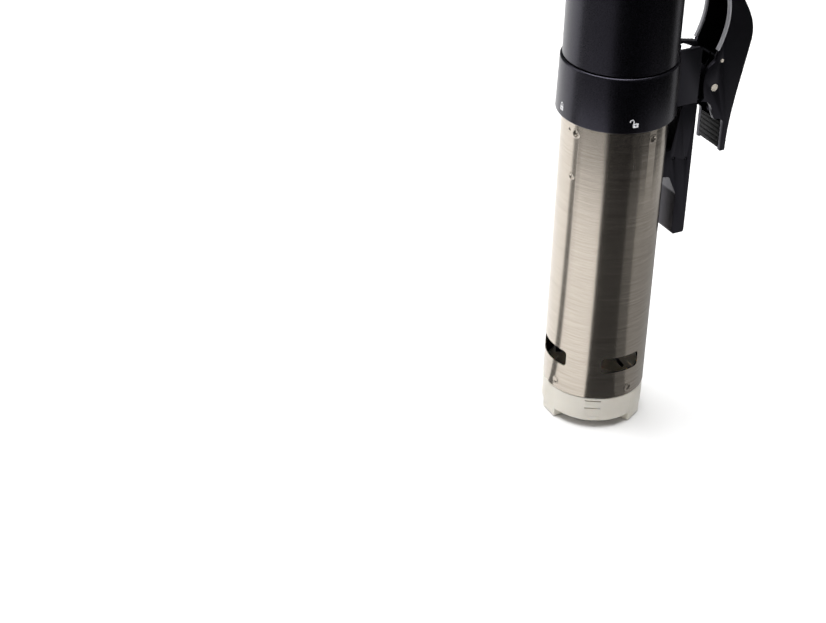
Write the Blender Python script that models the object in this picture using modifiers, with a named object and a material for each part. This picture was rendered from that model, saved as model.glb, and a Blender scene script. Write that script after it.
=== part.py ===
"""Sous vide circulator: a stick-shaped immersion heater and pump with a lever clamp on its back.

The origin is on the tube's axis in the plane that the three feet stand on. +Z runs up the tube,
-Y is the control side and +Y is the clamp side. Sizes below are in millimetres and become metres
when an object is made.
"""

from math import cos, pi, radians, sin, tan

import bmesh
import bpy
from mathutils import Matrix, Vector

MM = 0.001
GAP = 0.3  # between pieces that touch
SIDES = 48  # round a part as wide as the tube
FEW_SIDES = 32  # round a part inside it

# Tube
SLEEVE_R = 28.1
SLEEVE_WALL = 0.8
SLEEVE_BORE = SLEEVE_R - SLEEVE_WALL
SLEEVE_BOTTOM = 19.3
SLEEVE_TOP = 197.0
COLLAR_R = 31.7  # at the bottom, where it is widest
COLLAR_TOP_R = 31.1
COLLAR_BORE = 28.6
COLLAR_BOTTOM = 183.5
COLLAR_TOP = 214.0
FLANGE_BOTTOM = 206.6
FLANGE_BORE = 24.0
BODY_R = 30.0
BODY_WALL = 2.5
BODY_BORE = BODY_R - BODY_WALL
BODY_BOTTOM = COLLAR_TOP + GAP

# Sloping control panel on top of the body
PANEL_Z = 345.0
PANEL_TILT = radians(35)
PANEL_SUNK = 0.4
PANEL_THICK = 2.5
LENS_V = 6.0
LENS = (36.0, 22.0, 1.2)
WINDOW = (30.0, 16.0)
BUTTON_V = -18.0
BUTTON_X = (-12.0, 0.0, 12.0)
BUTTON_R = 3.8
BUTTON_PROUD = 0.6

# Cord gland and vents in the back of the body
GLAND_R = 5.3
GLAND_Z = 318.0
VENT_LOW = 284.0

# Screws that hold motor plate, collar and spigot together
SCREW_ANGLES = (40, 160, 280)
SCREW_RING = 24.25

# Water outlets, one at each quarter of the sleeve
OUTLET_Z = 40.8
OUTLET_HEIGHT = 9.4
OUTLET_HALF_ANGLE = radians(24)
OUTLET_TURN = radians(-2)

# Bayonet between the sleeve and the spigot
LUG_TURN = radians(11.5)
LUG_Z = 177.0
LUG_R = 1.6
LUG_TIP = 26.0
TWIST = radians(80)
TRACK_R = 25.6
TRACK_HALF = 3.2
STOP_TURN = LUG_TURN + radians(85)

# Spigot
SPIGOT_R = 27.0
SPIGOT_BOTTOM = 164.7
SPIGOT_FLOOR = 171.0
SPIGOT_TOP = 206.2
SEAL_Z = 191.3

# Wet end
SHAFT_R = 2.0
SHAFT_BOTTOM = 31.0
SHAFT_TOP = 262.0
COIL_R = 14.0
COIL_TUBE_R = 3.0
COIL_BOTTOM = 70.0
COIL_TOP = 150.0
COIL_TURNS = 4
PROBE_RING = 22.0
ROD_R = 1.5
ROD_ANGLES = (30, 150, 270)
PLATE_Z = 54.0

PROBES = (
    ("temperature_probe", 210, 1.9, 58.0),
    ("level_probe_long", 330, 1.5, 92.0),
    ("level_probe_short", 90, 1.5, 126.0),
)

# Base cap, with three feet and three latches
CAP_R = 27.9
CAP_RIM = 3.5
CAP_TURN = -92
HUB_R = 6.5
FOOT = (7.0, 12.0, 4.2)

# Clamp
CLAMP_HALF = 11.0
CHEEK_INNER = 8.7
PIVOT = (54.6, 189.0)
PIVOT_R = 2.1
SPRING_PIN = (57.6, 204.0)
SPRING_PIN_R = 1.0
KNUCKLE_R = 6.4
BRACKET_BOTTOM = 183.3
BRACKET_TOP = 214.6
BRACKET_END = 44.0
BRACKET_FLOOR = 203.0
BRACKET_WALL = 1.7
BRACKET_SCREW_X = (-3.0, 3.0)
BRACKET_SCREW_Z = 210.3
WEB = 1.7
TRIM = 1.4
JAW_FACE = 44.4
JAW_BOTTOM = 104.8
RIVETS = ((32.4, 152.2), (40.5, 150.3))
OUTER_FACE = 62.9
LEVER_BOTTOM = 150.0

PARTS = "sous_vide_circulator"
CUTTERS = "cutters"


def collection(name):
    made = bpy.data.collections.new(name)
    bpy.context.scene.collection.children.link(made)
    return made


def material(name, colour, roughness, metallic=0.0):
    made = bpy.data.materials.new(name)
    made.use_nodes = True
    shader = made.node_tree.nodes["Principled BSDF"]
    shader.inputs["Base Color"].default_value = (*colour, 1.0)
    shader.inputs["Roughness"].default_value = roughness
    shader.inputs["Metallic"].default_value = metallic
    return made


def finish(name, look):
    """A material of the part's own, from one of the looks below."""
    return material(name, *LOOKS[look])


LOOKS = {
    "black_plastic": ((0.012, 0.012, 0.015), 0.42),
    "white_plastic": ((0.72, 0.70, 0.66), 0.45),
    "brushed_steel": ((0.50, 0.47, 0.43), 0.33, 1.0),
    "bright_steel": ((0.62, 0.60, 0.57), 0.22, 1.0),
    "aluminium": ((0.70, 0.71, 0.72), 0.38, 1.0),
    "grey_plastic": ((0.42, 0.42, 0.44), 0.45),
    "rubber": ((0.02, 0.02, 0.02), 0.75),
    "circuit_board": ((0.02, 0.12, 0.06), 0.40),
    "dark_glass": ((0.01, 0.01, 0.012), 0.06),
}


def place(name, mesh, look=None):
    """An object of a mesh: a part where it has a look, and otherwise a cutter or a piece to fuse."""
    made = bpy.data.objects.new(name, mesh)
    home = PARTS if look else CUTTERS
    bpy.data.collections[home].objects.link(made)
    if look:
        mesh.materials.append(finish(name, look))
        mesh.shade_smooth()
        mesh.set_sharp_from_angle(angle=radians(30))
    else:
        made.hide_render = True
        made.display_type = "WIRE"
    return made


def from_bmesh(name, shape, look=None):
    bmesh.ops.recalc_face_normals(shape, faces=shape.faces)
    mesh = bpy.data.meshes.new(name)
    shape.to_mesh(mesh)
    shape.free()
    return place(name, mesh, look)


def box(name, low, high, look=None, turn=Matrix.Identity(4)):
    """A box between two corners, turned about the origin afterwards."""
    size = [(b - a) * MM for a, b in zip(low, high)]
    middle = [(a + b) / 2 * MM for a, b in zip(low, high)]
    shape = bmesh.new()
    bmesh.ops.create_cube(shape, size=1.0)
    bmesh.ops.scale(shape, vec=size, verts=shape.verts)
    bmesh.ops.translate(shape, vec=middle, verts=shape.verts)
    bmesh.ops.transform(shape, matrix=turn, verts=shape.verts)
    return from_bmesh(name, shape, look)


def rod(name, radius, start, end, look=None, sides=16, turn=Matrix.Identity(4)):
    """A cylinder between two points."""
    start = Vector(start) * MM
    end = Vector(end) * MM
    along = end - start
    aim = Vector((0, 0, 1)).rotation_difference(along).to_matrix().to_4x4()
    where = turn @ Matrix.Translation((start + end) / 2) @ aim
    shape = bmesh.new()
    bmesh.ops.create_cone(
        shape,
        cap_ends=True,
        segments=sides,
        radius1=radius * MM,
        radius2=radius * MM,
        depth=along.length,
        matrix=where,
    )
    return from_bmesh(name, shape, look)


def turned(name, profile, look=None, closed=True, steps=SIDES):
    """A profile of (radius, height) points about the tube's axis, outer side listed top to bottom."""
    mesh = bpy.data.meshes.new(name)
    count = len(profile)
    edges = [(i, i + 1) for i in range(count - 1)]
    if closed:
        edges.append((count - 1, 0))
    mesh.from_pydata([(r * MM, 0, z * MM) for r, z in profile], edges, [])
    made = place(name, mesh, look)
    screw = made.modifiers.new("Screw", "SCREW")
    screw.axis = "Z"
    screw.angle = 2 * pi
    screw.steps = steps
    screw.render_steps = steps
    screw.use_merge_vertices = True
    screw.merge_threshold = 0.00001
    screw.use_smooth_shade = True
    return made


def prism(name, outline, half, look=None, middle=0.0):
    """A (y, z) outline made solid between middle - half and middle + half across X."""
    curve = bpy.data.curves.new(name, "CURVE")
    curve.dimensions = "2D"
    curve.fill_mode = "BOTH"
    curve.extrude = half * MM
    spline = curve.splines.new("POLY")
    spline.points.add(len(outline) - 1)
    for point, (y, z) in zip(spline.points, outline):
        point.co = (y * MM, z * MM, 0, 1)
    spline.use_cyclic_u = True
    flat = bpy.data.objects.new(name + "_outline", curve)
    bpy.data.collections[CUTTERS].objects.link(flat)
    bpy.context.view_layer.update()
    seen = flat.evaluated_get(bpy.context.evaluated_depsgraph_get())
    mesh = bpy.data.meshes.new_from_object(seen)
    bpy.data.objects.remove(flat)
    stand = Matrix(((0, 0, 1, middle * MM), (1, 0, 0, 0), (0, 1, 0, 0), (0, 0, 0, 1)))
    shape = bmesh.new()
    shape.from_mesh(mesh)
    bmesh.ops.remove_doubles(shape, verts=shape.verts, dist=0.000001)
    bmesh.ops.transform(shape, matrix=stand, verts=shape.verts)
    bpy.data.meshes.remove(mesh)
    return from_bmesh(name, shape, look)


def boolean(target, tool, operation):
    made = target.modifiers.new(tool.name, "BOOLEAN")
    made.operation = operation
    made.object = tool
    made.solver = "EXACT"
    return target


def cut(target, *tools):
    for tool in tools:
        boolean(target, tool, "DIFFERENCE")
    return target


def fuse(target, *tools):
    for tool in tools:
        boolean(target, tool, "UNION")
    return target


def spun(angle):
    return Matrix.Rotation(angle, 4, "Z")


def around(count, first=0.0):
    """Equal turns about the axis, in radians."""
    return [first + 2 * pi * i / count for i in range(count)]


def bezier(a, b, c, d, steps=8):
    """Points of a cubic curve from a to d, with b and c as its handles."""
    points = []
    for i in range(steps + 1):
        t = i / steps
        weights = ((1 - t) ** 3, 3 * t * (1 - t) ** 2, 3 * t * t * (1 - t), t**3)
        points.append(tuple(sum(w * p[k] for w, p in zip(weights, (a, b, c, d))) for k in (0, 1)))
    return points


def arc(centre, radius, start, end, steps=6):
    """Points round a circle, with the angles in degrees from +Y towards +Z."""
    turns = [radians(start + (end - start) * i / steps) for i in range(steps + 1)]
    return [(centre[0] + radius * cos(t), centre[1] + radius * sin(t)) for t in turns]


def beside(points, distance):
    """The same line, moved square to itself: to the left of its direction where positive."""
    moved = []
    for i, (y, z) in enumerate(points):
        before = points[max(i - 1, 0)]
        after = points[min(i + 1, len(points) - 1)]
        along = Vector((after[0] - before[0], after[1] - before[1])).normalized()
        moved.append((y - along.y * distance, z + along.x * distance))
    return moved


def wire(name, points, radius, look):
    """A round wire or tube through a list of points, with flat ends."""
    curve = bpy.data.curves.new(name, "CURVE")
    curve.dimensions = "3D"
    curve.bevel_depth = radius * MM
    curve.bevel_resolution = 2
    curve.use_fill_caps = True
    spline = curve.splines.new("POLY")
    spline.points.add(len(points) - 1)
    for point, place_mm in zip(spline.points, points):
        point.co = (*[v * MM for v in place_mm], 1)
    made = bpy.data.objects.new(name, curve)
    curve.materials.append(finish(name, look))
    bpy.data.collections[PARTS].objects.link(made)
    return made


# ---------------------------------------------------------------- tube


def make_sleeve():
    """The steel skirt: outlets near its foot and four bayonet lugs pressed in under the collar."""
    profile = [
        (SLEEVE_R, SLEEVE_TOP),
        (SLEEVE_R, SLEEVE_BOTTOM),
        (SLEEVE_BORE, SLEEVE_BOTTOM),
        (SLEEVE_BORE, SLEEVE_TOP),
    ]
    sleeve = turned("sleeve", profile, "brushed_steel")
    half_width = SLEEVE_R * sin(OUTLET_HALF_ANGLE)
    for i, turn in enumerate(around(4, OUTLET_TURN)):
        low = (SLEEVE_BORE - 6, -half_width, OUTLET_Z - OUTLET_HEIGHT / 2)
        high = (SLEEVE_R + 3, half_width, OUTLET_Z + OUTLET_HEIGHT / 2)
        cut(sleeve, box(f"outlet_{i + 1}", low, high, turn=spun(turn)))
    for i, turn in enumerate(around(4, LUG_TURN)):
        middle = SLEEVE_BORE + SLEEVE_WALL / 2
        ends = ((LUG_TIP, 0, LUG_Z), (middle, 0, LUG_Z))
        fuse(sleeve, rod(f"lug_{i + 1}", LUG_R, *ends, sides=12, turn=spun(turn)))
        dent_r = LUG_R - SLEEVE_WALL / 2
        ends = ((LUG_TIP + SLEEVE_WALL, 0, LUG_Z), (SLEEVE_R + 1, 0, LUG_Z))
        cut(sleeve, rod(f"dent_{i + 1}", dent_r, *ends, sides=12, turn=spun(turn)))


def make_collar():
    """The ring over the top of the sleeve; its inner flange carries the body and the spigot."""
    profile = [
        (COLLAR_TOP_R - 0.5, COLLAR_TOP),
        (COLLAR_TOP_R, COLLAR_TOP - 0.6),
        (COLLAR_R, COLLAR_BOTTOM + 0.8),
        (COLLAR_R - 0.6, COLLAR_BOTTOM),
        (COLLAR_BORE, COLLAR_BOTTOM),
        (COLLAR_BORE, FLANGE_BOTTOM),
        (FLANGE_BORE, FLANGE_BOTTOM),
        (FLANGE_BORE, COLLAR_TOP),
    ]
    collar = turned("collar", profile, "black_plastic")
    for x in BRACKET_SCREW_X:
        cut(collar, rod("collar_hole", 1.4, (x, 15, BRACKET_SCREW_Z), (x, 36, BRACKET_SCREW_Z)))


def make_spigot():
    """The sealed plug inside the sleeve's top, with the bayonet track and the holes for the wet end."""
    profile = [
        (SPIGOT_R, SPIGOT_TOP),
        (SPIGOT_R, SEAL_Z + 1.7),
        (SPIGOT_R - 1.8, SEAL_Z + 1.7),
        (SPIGOT_R - 1.8, SEAL_Z - 1.7),
        (SPIGOT_R, SEAL_Z - 1.7),
        (SPIGOT_R, LUG_Z + TRACK_HALF),
        (TRACK_R, LUG_Z + TRACK_HALF),
        (TRACK_R, LUG_Z - TRACK_HALF),
        (SPIGOT_R, LUG_Z - TRACK_HALF),
        (SPIGOT_R, SPIGOT_BOTTOM + 0.8),
        (SPIGOT_R - 0.8, SPIGOT_BOTTOM),
        (SHAFT_R + 0.6, SPIGOT_BOTTOM),
        (SHAFT_R + 0.6, SPIGOT_BOTTOM + 1.2),
        (6.3, SPIGOT_BOTTOM + 1.2),
        (6.3, SPIGOT_FLOOR),
        (21.5, SPIGOT_FLOOR),
        (21.5, SPIGOT_TOP),
    ]
    spigot = turned("spigot", profile, "black_plastic", steps=FEW_SIDES)
    for turn in around(4, STOP_TURN):
        low = (TRACK_R - 1, -0.45, LUG_Z - TRACK_HALF - 0.5)
        high = (SPIGOT_R - 0.1, 0.45, LUG_Z + TRACK_HALF + 0.5)
        fuse(spigot, box("track_stop", low, high, turn=spun(turn)))
    for turn in around(4, LUG_TURN + TWIST):
        low = (TRACK_R, -LUG_R - GAP, SPIGOT_BOTTOM - 1)
        high = (SPIGOT_R + 1, LUG_R + GAP, LUG_Z)
        cut(spigot, box("lug_entry", low, high, turn=spun(turn)))
    for x, y, radius in wet_end_feet():
        ends = ((x, y, SPIGOT_BOTTOM - 1), (x, y, SPIGOT_FLOOR + 1))
        cut(spigot, rod("foot_hole", radius + GAP + 0.1, *ends, sides=12))
    for angle in SCREW_ANGLES:
        x, y = on_ring(SCREW_RING, angle)
        cut(spigot, rod("screw_hole", 1.6, (x, y, 194), (x, y, SPIGOT_TOP + 1), sides=8))


def on_ring(radius, degrees):
    return radius * cos(radians(degrees)), radius * sin(radians(degrees))


def wet_end_feet():
    """Where each part of the wet end passes the spigot's floor: x, y and its radius."""
    feet = [(COIL_R, 0, COIL_TUBE_R), (-COIL_R, 0, COIL_TUBE_R)]
    for _, angle, radius, _ in PROBES:
        feet.append((*on_ring(PROBE_RING - 3.5, angle), radius))
    for angle in ROD_ANGLES:
        feet.append((*on_ring(PROBE_RING - 3.5, angle), ROD_R))
    return feet


# ---------------------------------------------------------------- wet end

def make_heater():
    """A tube heater: two straight legs from the spigot to a helix round the shaft."""
    per_turn = 10
    steps = COIL_TURNS * per_turn - per_turn // 2
    rise = COIL_TOP - COIL_BOTTOM
    helix = []
    for i in range(steps + 1):
        turn = 2 * pi * i / per_turn
        helix.append((COIL_R * cos(turn), COIL_R * sin(turn), COIL_TOP - rise * i / steps))
    # The return leg climbs outside the helix, so it steps out by a tube and a half first.
    out = COIL_R + 2 * COIL_TUBE_R + 1
    down = [(COIL_R, 0, SPIGOT_FLOOR + 6), (COIL_R, 0, COIL_TOP + 6)]
    back = [
        (-out, -1, COIL_BOTTOM - 3),
        (-out, 0, COIL_BOTTOM + 4),
        (-out, 0, COIL_TOP + 2),
        (-COIL_R - 1, 0, COIL_TOP + 9),
        (-COIL_R, 0, COIL_TOP + 13),
        (-COIL_R, 0, SPIGOT_FLOOR + 6),
    ]
    wire("heater_coil", down + helix + back, COIL_TUBE_R, "bright_steel")


def make_probes():
    for name, angle, radius, bottom in PROBES:
        x, y = on_ring(PROBE_RING - 3.5, angle)
        top = SPIGOT_FLOOR + 8
        outer_x, outer_y = on_ring(PROBE_RING, angle)
        points = [
            (outer_x, outer_y, bottom),
            (outer_x, outer_y, 152),
            ((x + outer_x) / 2, (y + outer_y) / 2, 157),
            (x, y, 161),
            (x, y, top),
        ]
        wire(name, points, radius, "bright_steel")


def make_pump_mount():
    """The plate over the impeller, with the shaft's lower bush, hung on three rods."""
    for i, angle in enumerate(ROD_ANGLES):
        x, y = on_ring(PROBE_RING, angle)
        inner_x, inner_y = on_ring(PROBE_RING - 3.5, angle)
        points = [
            (x, y, PLATE_Z + 3.2),
            (x, y, 152),
            ((x + inner_x) / 2, (y + inner_y) / 2, 157),
            (inner_x, inner_y, 161),
            (inner_x, inner_y, SPIGOT_FLOOR + 3),
        ]
        wire(f"support_rod_{i + 1}", points, ROD_R, "bright_steel")
    profile = [
        (25.0, PLATE_Z + 2.5),
        (25.0, PLATE_Z),
        (5.3, PLATE_Z),
        (5.3, PLATE_Z + 2.5),
    ]
    plate = turned("pump_plate", profile, "bright_steel", steps=FEW_SIDES)
    for turn in around(6):
        ends = ((14, 0, PLATE_Z - 2), (14, 0, PLATE_Z + 5))
        cut(plate, rod("plate_opening", 4.2, *ends, sides=10, turn=spun(turn)))
    bush = [
        (7.0, PLATE_Z + 5.0),
        (7.0, PLATE_Z + 2.5 + GAP),
        (5.0, PLATE_Z + 2.5 + GAP),
        (5.0, PLATE_Z - 1.0),
        (SHAFT_R + GAP, PLATE_Z - 1.0),
        (SHAFT_R + GAP, PLATE_Z + 5.0),
    ]
    turned("pump_bush", bush, "white_plastic", steps=16)


def make_spindle():
    """All that spins: the shaft, its coupling, the impeller and the motor's cooling fan."""
    rod("drive_shaft", SHAFT_R, (0, 0, SHAFT_BOTTOM), (0, 0, SHAFT_TOP), "bright_steel")
    ring = [(5.5, 194.0), (5.5, 178.0), (SHAFT_R + GAP, 178.0), (SHAFT_R + GAP, 194.0)]
    turned("shaft_coupling", ring, "aluminium", steps=16)
    bladed("impeller", low=33.0, high=47.0, hub=5.0, tip=22.0, count=6, pitch=38, thick=1.6)
    bladed("cooling_fan", low=254.0, high=260.5, hub=6.0, tip=21.0, count=7, pitch=50, thick=1.2)


def bladed(name, low, high, hub, tip, count, pitch, thick):
    ring = [(hub, high), (hub, low), (SHAFT_R + GAP, low), (SHAFT_R + GAP, high)]
    wheel = turned(name, ring, "black_plastic", steps=16)
    middle = (low + high) / 2
    reach = (high - low) / 2 / cos(radians(pitch)) - thick
    lean = Matrix.Rotation(radians(pitch), 4, "X")
    lift = Matrix.Translation((0, 0, middle * MM))
    for i, turn in enumerate(around(count)):
        where = spun(turn) @ lift @ lean
        low_corner = (hub - 1, -thick / 2, -reach)
        fuse(wheel, box(f"{name}_blade_{i + 1}", low_corner, (tip, thick / 2, reach), turn=where))
    return wheel


def make_seals():
    ring_r = 26.25
    profile = [(ring_r + 0.7 * cos(t), SEAL_Z - 0.7 * sin(t)) for t in around(6)]
    turned("sleeve_seal", profile, "rubber", steps=FEW_SIDES)
    low = SPIGOT_BOTTOM + 1.2 + GAP
    lip = [(6.0, low + 4.2), (6.0, low), (SHAFT_R + GAP, low), (SHAFT_R + GAP, low + 4.2)]
    turned("shaft_seal", lip, "rubber", steps=16)


def make_base_cap():
    """The snap-on foot: a slotted floor with a hub, three latches in its wall and three feet."""
    floor = CAP_RIM + 2.5
    profile = [
        (0, floor),
        (25.4, floor),
        (25.4, SLEEVE_BOTTOM + 6.5),
        (26.9, SLEEVE_BOTTOM + 6.5),
        (26.9, SLEEVE_BOTTOM - GAP),
        (CAP_R, SLEEVE_BOTTOM - GAP),
        (CAP_R, CAP_RIM + 1.2),
        (CAP_R - 1.2, CAP_RIM),
        (HUB_R + 0.6, CAP_RIM),
        (HUB_R, 0),
        (0, 0),
    ]
    cap = turned("base_cap", profile, "white_plastic", closed=False)
    for turn in around(12, radians(CAP_TURN + 15)):
        slit = box("intake_slit", (9.5, -1.3, CAP_RIM - 1), (20, 1.3, floor + 1), turn=spun(turn))
        cut(cap, slit)
    for turn in around(3, radians(CAP_TURN + 60)):
        for height in (12.4, 17.2):
            slot = box("latch_slot", (24, -4.7, height - 0.4), (29, 4.7, height + 0.4), turn=spun(turn))
            cut(cap, slot)
    for turn in around(3, radians(CAP_TURN)):
        inner = CAP_R - FOOT[0]
        low = (inner, -FOOT[1] / 2, 0)
        high = (CAP_R - 1.0, FOOT[1] / 2, FOOT[2])
        fuse(cap, box("foot", low, high, turn=spun(turn)))


# ---------------------------------------------------------------- body


def on_panel(x, v, n):
    """A point x across the sloping panel, v up its slope from the tube's axis and n out of it."""
    y = v * cos(PANEL_TILT) - n * sin(PANEL_TILT)
    z = PANEL_Z + v * sin(PANEL_TILT) + n * cos(PANEL_TILT)
    return x, y, z


def panel_frame():
    return Matrix.Translation((0, 0, PANEL_Z * MM)) @ Matrix.Rotation(PANEL_TILT, 4, "X")


def make_upper_housing():
    top = PANEL_Z + BODY_R * tan(PANEL_TILT) + 8
    profile = [
        (BODY_R, top),
        (BODY_R, BODY_BOTTOM + 0.4),
        (BODY_R - 0.4, BODY_BOTTOM),
        (BODY_BORE, BODY_BOTTOM),
        (BODY_BORE, top),
    ]
    housing = turned("upper_housing", profile, "black_plastic")
    cut(housing, box("above_panel", (-60, -70, 0), (60, 70, 60), turn=panel_frame()))
    gland = rod("gland_hole", GLAND_R, (0, 20, GLAND_Z), (0, 40, GLAND_Z))
    cut(housing, gland)
    for side in (-1, 1):
        for step in range(4):
            turn = radians(90 + side * (30 + 9 * step))
            slot = box("vent", (24, -0.9, VENT_LOW), (32, 0.9, VENT_LOW + 16), turn=spun(turn))
            cut(housing, slot)


def make_cable_gland():
    """The cord's strain relief in the back of the body."""
    gland = rod("cable_gland", GLAND_R - GAP, (0, 23.5, GLAND_Z), (0, 35.0, GLAND_Z), "rubber", 24)
    fuse(gland, rod("gland_flange", 7.2, (0, BODY_R + GAP, GLAND_Z), (0, 32.6, GLAND_Z), sides=24))
    fuse(gland, rod("gland_nut", 7.0, (0, 21.0, GLAND_Z), (0, 24.6, GLAND_Z), sides=6))
    cut(gland, rod("cord_hole", 3.2, (0, 15, GLAND_Z), (0, 40, GLAND_Z), sides=24))


def make_control_panel():
    """The panel plate, with the lens, the display and its board, and three push buttons."""
    low = PANEL_Z - 30
    blank = [(0, low + 70), (BODY_BORE - GAP, low + 70), (BODY_BORE - GAP, low), (0, low)]
    panel = turned("control_panel", blank, "black_plastic", closed=False)
    top = -PANEL_SUNK
    bottom = top - PANEL_THICK
    slab = box("panel_slab", (-60, -70, bottom), (60, 70, top), turn=panel_frame())
    boolean(panel, slab, "INTERSECT")
    half_x = LENS[0] / 2
    half_v = LENS[1] / 2
    pocket_low = (-half_x - GAP, LENS_V - half_v - GAP, top - LENS[2] - GAP)
    pocket_high = (half_x + GAP, LENS_V + half_v + GAP, top + 5)
    cut(panel, box("lens_pocket", pocket_low, pocket_high, turn=panel_frame()))
    window_low = (-WINDOW[0] / 2, LENS_V - WINDOW[1] / 2, bottom - 2)
    window_high = (WINDOW[0] / 2, LENS_V + WINDOW[1] / 2, top)
    cut(panel, box("window", window_low, window_high, turn=panel_frame()))
    lens_low = (-half_x, LENS_V - half_v, top - LENS[2])
    lens_high = (half_x, LENS_V + half_v, top)
    box("display_lens", lens_low, lens_high, "dark_glass", turn=panel_frame())
    display_low = (-17, LENS_V - 12, bottom - 3.4)
    display_high = (17, LENS_V + 12, bottom - GAP)
    box("display_module", display_low, display_high, "dark_glass", turn=panel_frame())
    make_buttons(panel, bottom)
    make_control_board(bottom)


def make_buttons(panel, bottom):
    for name, x in zip(("minus_button", "start_button", "plus_button"), BUTTON_X):
        ends = ((x, BUTTON_V, -6), (x, BUTTON_V, 6))
        cut(panel, rod("button_well", BUTTON_R + GAP, *ends, sides=20, turn=panel_frame()))
        base = bottom - GAP
        start = (x, BUTTON_V, base - 1.2)
        cap = rod(name, BUTTON_R, start, (x, BUTTON_V, BUTTON_PROUD), "grey_plastic", 20, panel_frame())
        fuse(cap, rod(f"{name}_rim", 4.9, start, (x, BUTTON_V, base), sides=20, turn=panel_frame()))


def make_control_board(bottom):
    top = bottom - 4.6
    board = box("control_board", (-18, -24, top - 1.6), (18, 18, top), "circuit_board", turn=panel_frame())
    for x in BUTTON_X:
        low = (x - 3, BUTTON_V - 3, top - 0.5)
        high = (x + 3, BUTTON_V + 3, top + 1.4)
        fuse(board, box("tact_switch", low, high, turn=panel_frame()))


def make_drive():
    """The motor on its plate, and the three screws that hold plate, collar and spigot together."""
    plate_top = BODY_BOTTOM + 4.0
    profile = [
        (BODY_BORE - GAP, plate_top),
        (BODY_BORE - GAP, BODY_BOTTOM),
        (6.0, BODY_BOTTOM),
        (6.0, plate_top),
    ]
    plate = turned("motor_plate", profile, "aluminium", steps=FEW_SIDES)
    low = plate_top + GAP
    motor = [
        (13.0, low + 33.0),
        (15.0, low + 31.0),
        (15.0, low + 2.0),
        (13.0, low),
        (SHAFT_R + GAP, low),
        (SHAFT_R + GAP, low + 33.0),
    ]
    turned("motor", motor, "bright_steel", steps=24)
    collar = bpy.data.objects["collar"]
    for i, angle in enumerate(SCREW_ANGLES):
        x, y = on_ring(SCREW_RING, angle)
        hole = rod("plate_hole", 1.6, (x, y, 200), (x, y, plate_top + 2), sides=8)
        cut(plate, hole)
        cut(collar, hole)
        name = f"assembly_screw_{i + 1}"
        screw = rod(name, 1.25, (x, y, 195), (x, y, plate_top + 2), "bright_steel", 8)
        fuse(screw, rod("screw_head", 2.4, (x, y, plate_top + GAP), (x, y, plate_top + 2.3), sides=12))


def make_electronics():
    """The mains board behind the motor, with its capacitor and relay, and the triac's heat sink."""
    board = box("power_board", (-19, 10.0, 264), (19, 11.6, 310), "circuit_board")
    fuse(board, rod("capacitor", 5.5, (-10, 11, 300), (-10, -6, 300)))
    fuse(board, box("relay", (1, -4, 286), (17, 10.5, 306)))
    fuse(board, box("terminal", (-16, 2, 268), (14, 10.5, 277)))
    sink = box("heat_sink", (-15, 12.2, 266), (15, 14.4, 306), "aluminium")
    for i in range(5):
        x = -12 + 6 * i
        fuse(sink, box("fin", (x - 0.7, 14, 266), (x + 0.7, 21.5, 306)))


# ---------------------------------------------------------------- clamp


def make_bracket():
    """The block on the collar's back: hollow on top, with a knuckle for the pivot and a stop finger."""
    outline = [
        (22, BRACKET_BOTTOM),
        (BRACKET_END, BRACKET_BOTTOM),
        (BRACKET_END, BRACKET_TOP - 1.5),
        (BRACKET_END - 1.5, BRACKET_TOP),
        (22, BRACKET_TOP),
    ]
    bracket = prism("clamp_bracket", outline, CLAMP_HALF, "black_plastic")
    inside = CLAMP_HALF - BRACKET_WALL
    cut(bracket, box("bracket_hollow", (-inside, 20, BRACKET_FLOOR), (inside, 46, BRACKET_TOP + 4)))
    fuse(bracket, box("screw_boss", (-4.6, 22, BRACKET_FLOOR - 1), (4.6, 34.9, BRACKET_TOP)))
    knuckle = [(43, BRACKET_BOTTOM), (PIVOT[0], PIVOT[1] - KNUCKLE_R)]
    knuckle += arc(PIVOT, KNUCKLE_R, -90, 75, 8)[1:]
    knuckle += [(47.5, BRACKET_FLOOR), (43, BRACKET_FLOOR)]
    fuse(bracket, prism("knuckle", knuckle, CHEEK_INNER - GAP))
    finger = [(22, 208.0), (34.9, 208.0), (34.9, 213.6), (38.0, 213.9), (46.8, 210.0)]
    finger += [(47.7, 211.6), (47.3, 213.4), (39.0, 215.0), (34.0, 216.0), (22, 217.0)]
    fuse(bracket, prism("stop_finger", finger, 2.0))
    spring_room = [(48.4, 180), (70, 180), (70, 212), (48.4, 212)]
    cut(bracket, prism("spring_room", spring_room, 3.8))
    pin = rod("pivot_hole", PIVOT_R + GAP, (-20, *PIVOT), (20, *PIVOT), sides=24)
    cut(bracket, pin)
    collar_space = rod("collar_space", COLLAR_R + GAP, (0, 0, 170), (0, 0, BODY_BOTTOM), sides=SIDES)
    body_space = rod("body_space", BODY_R + GAP, (0, 0, 190), (0, 0, 240), sides=SIDES)
    cut(bracket, collar_space, body_space)
    tang_space = box("tang_space", (-5 - GAP, 36.2, 170), (5 + GAP, 42.8, 193))
    cut(bracket, tang_space)
    for i, x in enumerate(BRACKET_SCREW_X):
        hole = rod("bracket_screw_hole", 1.4, (x, 25, BRACKET_SCREW_Z), (x, 34.3, BRACKET_SCREW_Z))
        cut(bracket, hole)
        name = f"bracket_screw_{i + 1}"
        start = (x, 20.2, BRACKET_SCREW_Z)
        screw = rod(name, 1.1, start, (x, 34.0, BRACKET_SCREW_Z), "bright_steel", 12)
        fuse(screw, rod("bracket_screw_head", 2.1, start, (x, 21.9, BRACKET_SCREW_Z), sides=12))


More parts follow.
